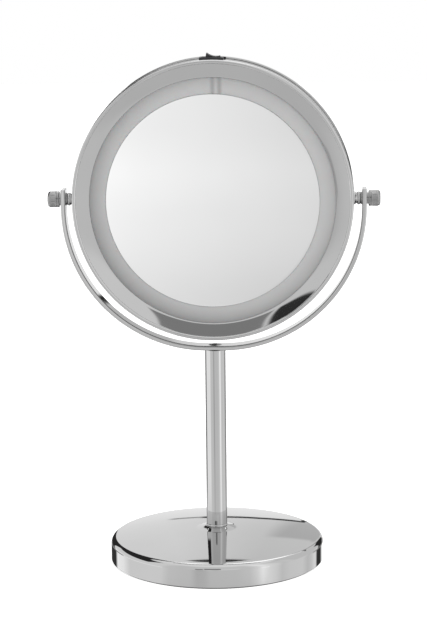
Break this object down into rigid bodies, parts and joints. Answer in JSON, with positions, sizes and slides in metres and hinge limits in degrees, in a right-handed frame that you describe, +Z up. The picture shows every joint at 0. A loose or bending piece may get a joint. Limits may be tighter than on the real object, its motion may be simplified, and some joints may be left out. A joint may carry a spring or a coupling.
{
  "type": "shaving mirror",
  "caption": "Free-standing round lit shaving and vanity mirror: two-sided head tilting in a U-shaped yoke on a post, with a rocker switch and weighted base.",
  "frame": {"origin": "centre of the base's underside, on the surface that the mirror stands on", "axes": "+Z up along the post, -Y out of the lit mirror, +X along the tilt axis"},
  "size_m": [0.2144, 0.14, 0.334],
  "materials": {
    "chrome": "polished plating",
    "satin_chrome": "knurled satin plating",
    "mirror_glass": "silvered glass",
    "diffuser": "frosted translucent",
    "white_shell": "moulded",
    "black_plastic": "moulded",
    "steel": "zinc plated",
    "brass": "turned",
    "iron": "cast",
    "foam_pad": "closed-cell foam sheet",
    "foam_tape": "double-sided foam tape",
    "circuit_board": "white solder mask",
    "lamp": "surface-mount lamp",
    "cell": "printed steel can",
    "red_wire": "insulated wire",
    "black_wire": "insulated wire"
  },
  "bodies": {
    "stand": {"base_shell": "chrome", "base_weight": "iron", "base_pad": "foam_pad", "base_washer": "steel", "base_screw": "steel", "post_foot_ring": "chrome", "post_tube": "chrome", "post_lower_insert": "brass", "post_upper_insert": "brass", "yoke": "chrome", "yoke_screw": "chrome"},
    "head": {"drum_band": "chrome", "chassis": "white_shell", "front_bezel": "chrome", "diffuser_ring": "diffuser", "front_mirror": "mirror_glass", "mirror_tape": "foam_tape", "mirror_carrier": "white_shell", "light_tray": "white_shell", "led_board": "circuit_board", "leds": "lamp", "resistors": "black_plastic", "board_screws": "steel", "chassis_screws": "steel", "left_pivot_insert": "brass", "right_pivot_insert": "brass", "left_collar": "chrome", "right_collar": "chrome", "left_washer": "steel", "right_washer": "steel", "switch_body": "black_plastic", "switch_terminals": "brass", "battery_tray": "white_shell", "battery_1": "cell", "battery_2": "cell", "battery_3": "cell", "battery_4": "cell", "contact_plates": "steel", "contact_springs": "steel", "red_lead": "red_wire", "black_lead": "black_wire", "tray_screws": "steel"},
    "rocker": {"switch_rocker": "black_plastic"},
    "left_thumbscrew": {"left_stud": "steel", "left_knob": "satin_chrome"},
    "right_thumbscrew": {"right_stud": "steel", "right_knob": "satin_chrome"},
    "rear_cover": {"rear_bezel": "chrome", "rear_carrier": "white_shell", "rear_tape": "foam_tape", "rear_mirror": "mirror_glass"}
  },
  "joints": [
    {"name": "head_tilt", "type": "hinge", "parent": "stand", "child": "head", "pos_m": [0, 0, 0.24], "axis": [1, 0, 0], "continuous": true},
    {"name": "rocker_tip", "type": "hinge", "parent": "head", "child": "rocker", "pos_m": [0, -0.00875, 0.3272], "axis": [0, -1, 0], "range_deg": [0, 24]},
    {"name": "left_thumbscrew_turn", "type": "hinge", "parent": "head", "child": "left_thumbscrew", "pos_m": [-0.1, 0, 0.24], "axis": [-1, 0, 0], "range_deg": [0, 360]},
    {"name": "right_thumbscrew_turn", "type": "hinge", "parent": "head", "child": "right_thumbscrew", "pos_m": [0.1, 0, 0.24], "axis": [1, 0, 0], "range_deg": [0, 360]},
    {"name": "rear_cover_twist", "type": "hinge", "parent": "head", "child": "rear_cover", "pos_m": [0, 0.015, 0.24], "axis": [0, 1, 0], "range_deg": [0, 20]}
  ]
}
